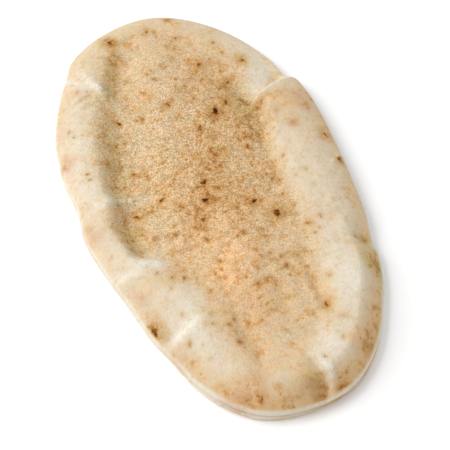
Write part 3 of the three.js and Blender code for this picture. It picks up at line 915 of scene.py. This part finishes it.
def baked_colour(shader, bake, patch):
    """The colour of a baking, with its peach and blushing places, painted shade in hollows and a drift in
    hue.
    """
    stops = [(degree / MOST_BAKED, colour) for degree, colour in BAKE_COLOURS]
    colour = shader.ramp(shader.maths("DIVIDE", bake, MOST_BAKED), stops)
    peach = shader.times(shader.mark("peach"), shader.scale(patch, 0.3, 0.6, 0.5, 0.9))
    colour = shader.mix(colour, PEACH, peach)
    blush = shader.times(shader.mark("blush"), shader.scale(patch, 0.3, 0.6, 0.3, 1.0))
    colour = shader.mix(colour, BLUSH, blush)
    colour = shader.tint(colour, PAINTED_HOLLOW_SHADE, shader.mark("painted_hollow_shade"))
    drift = shader.scale(shader.noise(7, detail=1), 0.3, 0.7)
    return shader.tint(colour, shader.mix(GREENER_TINT, PINKER_TINT, drift))


def browning(shader, coarse, rough):
    """What multiplies the colour of freckles, scorch marks' halos and clots."""
    torn = shader.times(shader.mark("freckle"), shader.scale(coarse, 0.25, 0.65, 0.5, 1.4))
    clots = shader.scale(shader.noise(5.5, detail=4, roughness=0.65), 0.50, 0.74)
    brown = shader.total(torn, shader.times(shader.times(clots, rough), CLOT_BROWN))
    return shader.ramp(brown, BROWNING)


def fine_relief(shader, cloud, patch, coarse, grain):
    """The crust's fine relief, around 0: gritty in the middle and soft on the rim."""
    grit = shader.total(shader.spread(grain, 0.92), shader.spread(coarse, 0.30),
                        shader.spread(patch, 0.40))
    return shader.total(shader.times(grit, shader.mark("grit")), shader.spread(coarse, 0.12),
                        shader.spread(patch, 0.14), shader.spread(cloud, 0.12))


def crust_material():
    shader = Shader("baked_crust")
    cloud = shader.noise(9, detail=3)
    patch = shader.noise(3.2, detail=3, roughness=0.6)
    coarse = shader.noise(1.5, detail=2, roughness=0.6)
    grain = shader.noise(0.62, detail=1)
    rough = shader.scale(shader.mark("bake"), 0.4, 1.4, 0.45, 1.5)
    bake = uneven_bake(shader, cloud, patch, coarse, rough)
    colour = baked_colour(shader, bake, patch)
    colour = shader.tint(colour, browning(shader, coarse, rough))
    relief = fine_relief(shader, cloud, patch, coarse, grain)
    # Painted shade in the fine relief's pits and painted highlight on its crumbs, weaker on the rim
    painted_pit_shade_and_crumb_highlight = shader.mix(PAINTED_PIT_SHADE, PAINTED_CRUMB_HIGHLIGHT, shader.scale(relief, -1.0, 1.0))
    painted_grain_light_share = shader.scale(shader.mark("grit"), 0, 1, RIM_PAINTED_GRAIN_LIGHT, 1)
    colour = shader.tint(colour, painted_pit_shade_and_crumb_highlight, painted_grain_light_share)

    height = shader.total(relief, shader.spread(grain, 0.25))
    inputs = {"Height": height, "Strength": 1.0, "Distance": BUMP_HEIGHT * MM}
    bump = shader.node("ShaderNodeBump", inputs)
    shader.put(shader.surface.inputs["Base Color"], colour)
    shader.put(shader.surface.inputs["Roughness"], shader.scale(patch, 0.3, 0.7, 0.75, 0.92))
    shader.put(shader.surface.inputs["Normal"], bump.outputs["Normal"])
    shader.put(shader.surface.inputs["Specular IOR Level"], 0.2)
    return shader.material


def floor_material():
    shader = Shader("pale_floor")
    shader.put(shader.surface.inputs["Base Color"], linear(252, 252, 252))
    shader.put(shader.surface.inputs["Roughness"], 0.9)
    return shader.material


# ==== Pieces and studio ====

LENS = 100                       # the camera's, in millimetres, with the sensor's width
SENSOR_WIDTH = 36
CAMERA_TARGET = (-2.1, -17.2, 6.0)    # where the camera looks, in plan millimetres from CENTRE
CAMERA_AZIMUTH = -20.8
CAMERA_ELEVATION = 55
CAMERA_DISTANCE = 508            # in plan millimetres
FLOOR_REACH = 20                 # in lengths of the bread
SKY_STRENGTH = 0.72


def make_crust():
    points, faces, on_top = crust_mesh()
    mesh = bpy.data.meshes.new("pita_crust")
    mesh.from_pydata((points * MM + np.array(CENTRE)).tolist(), [], faces)
    mesh.polygons.foreach_set("use_smooth", [True] * len(mesh.polygons))
    for name, values in markings(points, on_top).items():
        mesh.attributes.new(name, "FLOAT", "POINT").data.foreach_set("value", values.astype(np.float32))
    mesh.materials.append(crust_material())
    mesh.update()
    crust = bpy.data.objects.new("pita_crust", mesh)
    bpy.context.collection.objects.link(crust)
    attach(crust, "root")
    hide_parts("pita")


def make_floor():
    """A plain floor, wide enough to fill the view from any side."""
    reach = FLOOR_REACH * PLAN_LENGTH * MM
    corners = [(-reach, -reach, 0), (reach, -reach, 0), (reach, reach, 0), (-reach, reach, 0)]
    mesh = bpy.data.meshes.new("studio_floor")
    mesh.from_pydata([(x, y, CENTRE.z) for x, y, z in corners], [], [(0, 1, 2, 3)])
    mesh.materials.append(floor_material())
    floor = bpy.data.objects.new("studio_floor", mesh)
    bpy.context.collection.objects.link(floor)


def aim(thing, spot):
    thing.rotation_euler = (spot - thing.location).to_track_quat("-Z", "Y").to_euler()


def direction(azimuth, elevation):
    """The way from the bread to where something stands, seen from the near end at azimuth 0."""
    turn, rise = math.radians(azimuth), math.radians(elevation)
    return Vector((math.sin(turn) * math.cos(rise), -math.cos(turn) * math.cos(rise), math.sin(rise)))


def make_camera():
    camera = bpy.data.objects.new("camera", bpy.data.cameras.new("camera"))
    camera.data.lens = LENS
    camera.data.sensor_width = SENSOR_WIDTH
    target = CENTRE + Vector(CAMERA_TARGET) * MM
    camera.location = target + direction(CAMERA_AZIMUTH, CAMERA_ELEVATION) * CAMERA_DISTANCE * MM
    aim(camera, target)
    bpy.context.collection.objects.link(camera)
    bpy.context.scene.camera = camera


def make_light(name, azimuth, elevation, distance, size, strength):
    """A soft square light, its distance and size in lengths of the bread."""
    light = bpy.data.objects.new(name, bpy.data.lights.new(name, "AREA"))
    length = PLAN_LENGTH * MM
    light.data.size = size * length
    light.data.energy = strength * (distance * length) ** 2
    light.location = CENTRE + direction(azimuth, elevation) * distance * length
    aim(light, CENTRE)
    bpy.context.collection.objects.link(light)


def make_studio():
    make_floor()
    make_light("key_light", azimuth=-115, elevation=46, distance=5, size=3.5, strength=6.9)
    world = bpy.data.worlds.new("studio")
    world.use_nodes = True
    background = world.node_tree.nodes["Background"]
    background.inputs["Color"].default_value = (1, 1, 1, 1)
    background.inputs["Strength"].default_value = SKY_STRENGTH
    bpy.context.scene.world = world
    bpy.context.scene.view_settings.view_transform = "Standard"


make_camera()
make_crust()
make_studio()
